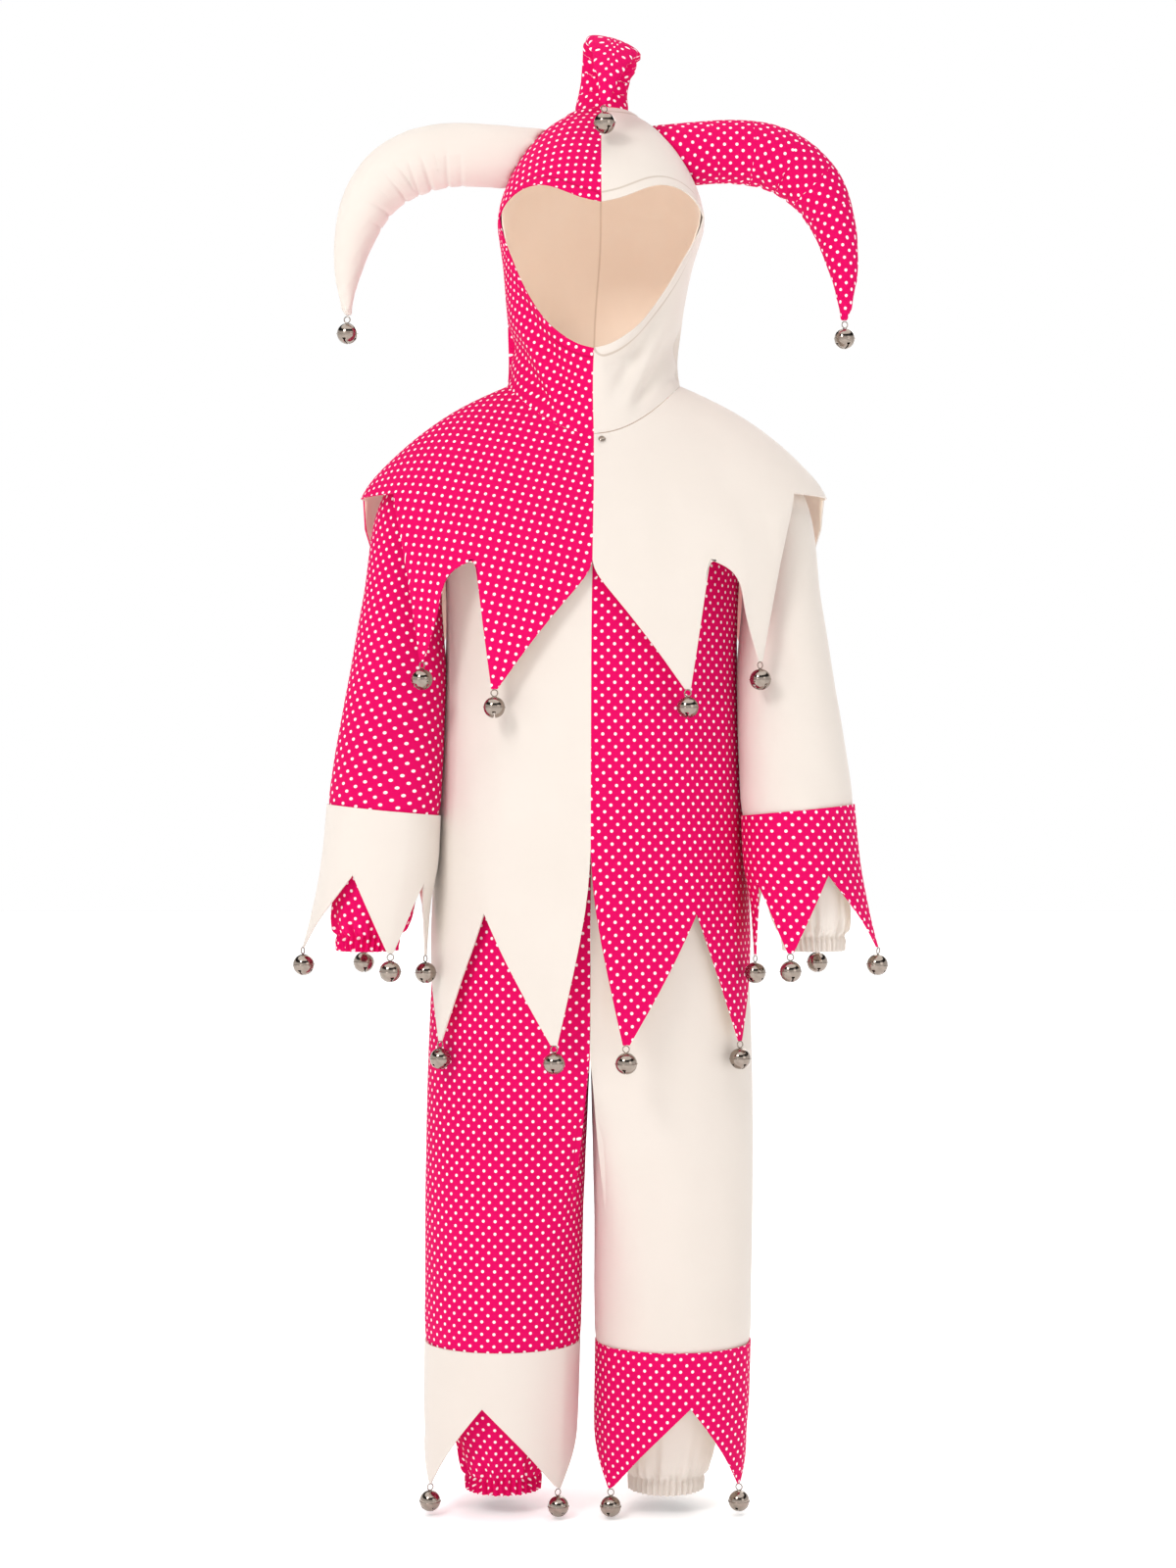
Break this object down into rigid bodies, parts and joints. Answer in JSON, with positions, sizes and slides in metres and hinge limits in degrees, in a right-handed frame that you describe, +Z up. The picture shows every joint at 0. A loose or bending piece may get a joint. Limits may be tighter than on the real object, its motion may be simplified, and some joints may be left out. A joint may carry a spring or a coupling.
{
  "type": "jester costume",
  "caption": "Child's two-colour jester costume, filled out as if worn: hood with three bell-tipped horns, pointed cape and tunic, belled cuffs, long sleeves and trousers",
  "frame": {"origin": "Middle of the wearer's shoulder line, at the base of the neck, where the shoulders hold the costume up", "axes": "+Z up along the standing body, -Y the front of the costume, +X the wearer's left (the cream half of the hood and cape)"},
  "size_m": [0.5627, 0.2726, 1.4206],
  "materials": {
    "pink_dot_cloth": "satin polyester, hot pink with small white dots",
    "cream_cloth": "plain matt polyester, cream",
    "lining_cloth": "plain matt lining, cream",
    "bell_metal": "bright nickel plating"
  },
  "bodies": {
    "root": {"hood_left": "cream_cloth", "hood_lining_left": "lining_cloth", "horn_left": "pink_dot_cloth", "cape_front_left": "cream_cloth", "cape_back_left": "cream_cloth", "tunic_front_left": "pink_dot_cloth", "tunic_back_left": "pink_dot_cloth", "sleeve_left": "cream_cloth", "cuff_left": "pink_dot_cloth", "trouser_left": "cream_cloth", "ankle_cuff_left": "pink_dot_cloth", "bell_horn_left": "bell_metal", "bell_cape_left_1": "bell_metal", "bell_cape_left_2": "bell_metal", "bell_cape_left_3": "bell_metal", "bell_cape_left_4": "bell_metal", "bell_tunic_left_1": "bell_metal", "bell_tunic_left_2": "bell_metal", "bell_tunic_left_3": "bell_metal", "bell_tunic_left_4": "bell_metal", "bell_cuff_left_1": "bell_metal", "bell_cuff_left_2": "bell_metal", "bell_cuff_left_3": "bell_metal", "bell_cuff_left_4": "bell_metal", "bell_ankle_left_1": "bell_metal", "bell_ankle_left_2": "bell_metal", "bell_ankle_left_3": "bell_metal", "hood_right": "pink_dot_cloth", "hood_lining_right": "lining_cloth", "horn_right": "cream_cloth", "cape_front_right": "pink_dot_cloth", "cape_back_right": "pink_dot_cloth", "tunic_front_right": "cream_cloth", "tunic_back_right": "cream_cloth", "sleeve_right": "pink_dot_cloth", "cuff_right": "cream_cloth", "trouser_right": "pink_dot_cloth", "ankle_cuff_right": "cream_cloth", "bell_horn_right": "bell_metal", "bell_cape_right_1": "bell_metal", "bell_cape_right_2": "bell_metal", "bell_cape_right_3": "bell_metal", "bell_cape_right_4": "bell_metal", "bell_tunic_right_1": "bell_metal", "bell_tunic_right_2": "bell_metal", "bell_tunic_right_3": "bell_metal", "bell_tunic_right_4": "bell_metal", "bell_cuff_right_1": "bell_metal", "bell_cuff_right_2": "bell_metal", "bell_cuff_right_3": "bell_metal", "bell_cuff_right_4": "bell_metal", "bell_ankle_right_1": "bell_metal", "bell_ankle_right_2": "bell_metal", "bell_ankle_right_3": "bell_metal", "horn_top": "pink_dot_cloth", "bell_horn_top": "bell_metal", "neck_snap": "bell_metal"}
  },
  "joints": []
}
